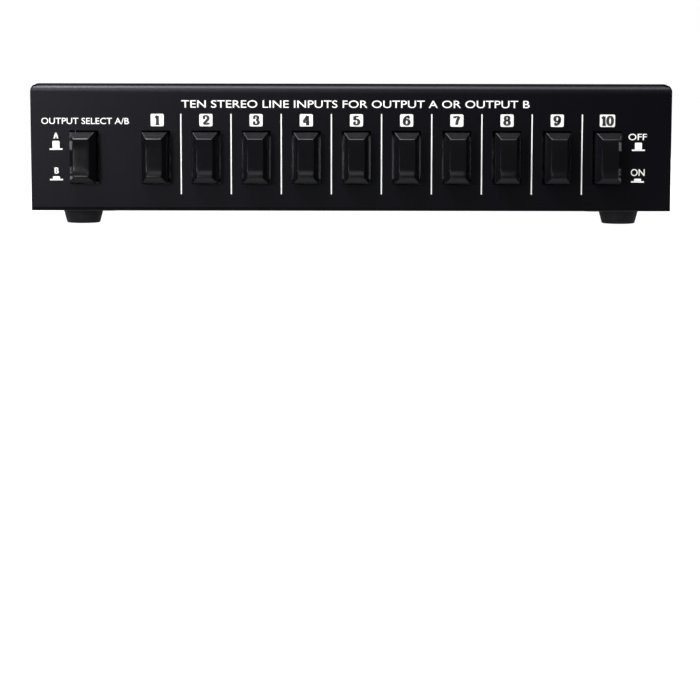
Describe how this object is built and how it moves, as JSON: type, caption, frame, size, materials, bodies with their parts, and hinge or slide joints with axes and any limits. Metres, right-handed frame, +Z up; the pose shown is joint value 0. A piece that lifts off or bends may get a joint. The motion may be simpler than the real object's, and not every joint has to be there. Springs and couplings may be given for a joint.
{
  "type": "audio source and speaker line selector switch",
  "caption": "Low steel box with a row of numbered push buttons on the front, an output button beside them, and rows of phono jack pairs on the back.",
  "frame": {"origin": "on the surface that the feet stand on, under the middle of the case", "axes": "+X to the right seen from the front, +Y from the front panel to the jacks, +Z up"},
  "size_m": [0.192, 0.118, 0.0424],
  "materials": {
    "powder_coated_steel": "fine-textured satin black powder coat",
    "black_screw": "black oxide finish",
    "foot_rubber": "matte black",
    "circuit_board": "green glass-epoxy laminate with solder mask",
    "plated_steel": "zinc plated",
    "switch_plastic": "moulded, dark grey",
    "plunger_plastic": "moulded acetal, natural white",
    "cap_plastic": "moulded ABS, semi-gloss black",
    "jack_block_plastic": "moulded, black",
    "nickel_barrel": "bright nickel plate",
    "white_insulator": "moulded, white",
    "red_insulator": "moulded, red",
    "contact_bronze": "tin-plated phosphor bronze"
  },
  "bodies": {
    "case": {"chassis": "powder_coated_steel", "top_cover": "powder_coated_steel", "cover_screws": "black_screw", "feet": "foot_rubber", "main_board": "circuit_board", "board_spacers": "plated_steel", "board_screws": "plated_steel", "switch_frame": "plated_steel", "jack_blocks": "jack_block_plastic", "jack_barrels": "nickel_barrel", "jack_insulators_left": "white_insulator", "jack_insulators_right": "red_insulator", "jack_contacts": "contact_bronze", "jack_screws": "black_screw", "switch_output": "switch_plastic", "switch_input_1": "switch_plastic", "switch_input_2": "switch_plastic", "switch_input_3": "switch_plastic", "switch_input_4": "switch_plastic", "switch_input_5": "switch_plastic", "switch_input_6": "switch_plastic", "switch_input_7": "switch_plastic", "switch_input_8": "switch_plastic", "switch_input_9": "switch_plastic", "switch_input_10": "switch_plastic"},
    "button_output": {"cap_output": "cap_plastic", "plunger_output": "plunger_plastic"},
    "button_input_1": {"cap_input_1": "cap_plastic", "plunger_input_1": "plunger_plastic"},
    "button_input_2": {"cap_input_2": "cap_plastic", "plunger_input_2": "plunger_plastic"},
    "button_input_3": {"cap_input_3": "cap_plastic", "plunger_input_3": "plunger_plastic"},
    "button_input_4": {"cap_input_4": "cap_plastic", "plunger_input_4": "plunger_plastic"},
    "button_input_5": {"cap_input_5": "cap_plastic", "plunger_input_5": "plunger_plastic"},
    "button_input_6": {"cap_input_6": "cap_plastic", "plunger_input_6": "plunger_plastic"},
    "button_input_7": {"cap_input_7": "cap_plastic", "plunger_input_7": "plunger_plastic"},
    "button_input_8": {"cap_input_8": "cap_plastic", "plunger_input_8": "plunger_plastic"},
    "button_input_9": {"cap_input_9": "cap_plastic", "plunger_input_9": "plunger_plastic"},
    "button_input_10": {"cap_input_10": "cap_plastic", "plunger_input_10": "plunger_plastic"}
  },
  "joints": [
    {"name": "press_output", "type": "slide", "parent": "case", "child": "button_output", "axis": [0, 1, 0], "range_m": [0, 0.005], "stiffness_N_per_m": 300, "springref_m": -0.003},
    {"name": "press_input_1", "type": "slide", "parent": "case", "child": "button_input_1", "axis": [0, 1, 0], "range_m": [0, 0.005], "stiffness_N_per_m": 300, "springref_m": -0.003},
    {"name": "press_input_2", "type": "slide", "parent": "case", "child": "button_input_2", "axis": [0, 1, 0], "range_m": [0, 0.005], "stiffness_N_per_m": 300, "springref_m": -0.003},
    {"name": "press_input_3", "type": "slide", "parent": "case", "child": "button_input_3", "axis": [0, 1, 0], "range_m": [0, 0.005], "stiffness_N_per_m": 300, "springref_m": -0.003},
    {"name": "press_input_4", "type": "slide", "parent": "case", "child": "button_input_4", "axis": [0, 1, 0], "range_m": [0, 0.005], "stiffness_N_per_m": 300, "springref_m": -0.003},
    {"name": "press_input_5", "type": "slide", "parent": "case", "child": "button_input_5", "axis": [0, 1, 0], "range_m": [0, 0.005], "stiffness_N_per_m": 300, "springref_m": -0.003},
    {"name": "press_input_6", "type": "slide", "parent": "case", "child": "button_input_6", "axis": [0, 1, 0], "range_m": [0, 0.005], "stiffness_N_per_m": 300, "springref_m": -0.003},
    {"name": "press_input_7", "type": "slide", "parent": "case", "child": "button_input_7", "axis": [0, 1, 0], "range_m": [0, 0.005], "stiffness_N_per_m": 300, "springref_m": -0.003},
    {"name": "press_input_8", "type": "slide", "parent": "case", "child": "button_input_8", "axis": [0, 1, 0], "range_m": [0, 0.005], "stiffness_N_per_m": 300, "springref_m": -0.003},
    {"name": "press_input_9", "type": "slide", "parent": "case", "child": "button_input_9", "axis": [0, 1, 0], "range_m": [0, 0.005], "stiffness_N_per_m": 300, "springref_m": -0.003},
    {"name": "press_input_10", "type": "slide", "parent": "case", "child": "button_input_10", "axis": [0, 1, 0], "range_m": [0, 0.005], "stiffness_N_per_m": 300, "springref_m": -0.003}
  ]
}
